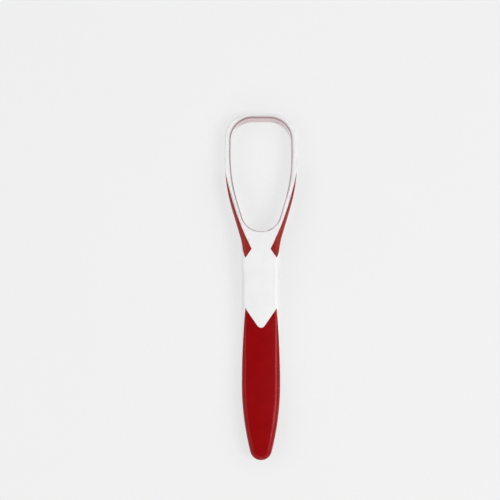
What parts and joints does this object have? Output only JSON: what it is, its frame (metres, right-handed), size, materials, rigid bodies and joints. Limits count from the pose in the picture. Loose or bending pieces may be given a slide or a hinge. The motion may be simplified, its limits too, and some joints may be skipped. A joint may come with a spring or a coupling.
{
  "type": "tongue scraper",
  "caption": "Two-material tongue scraper: hard white loop and neck moulded with a slim handle, soft red grip sleeve, red inlays on the loop's arms and a soft scraping lip.",
  "frame": {"origin": "under the flat back, on the centre line, midway between the loop's top and the butt of the grip", "axes": "+Y along the tool towards the loop, +Z out of the front, X across the loop"},
  "size_m": [0.0342, 0.1629, 0.0109],
  "materials": {
    "frame": "satin moulded",
    "grip_sleeve": "smooth soft-touch",
    "arm_inlays": "smooth soft-touch",
    "scraping_lip": "smooth soft-touch"
  },
  "bodies": {
    "root": {"frame": "frame", "grip_sleeve": "grip_sleeve", "left_arm_inlay": "arm_inlays", "right_arm_inlay": "arm_inlays", "scraping_lip": "scraping_lip"}
  },
  "joints": []
}
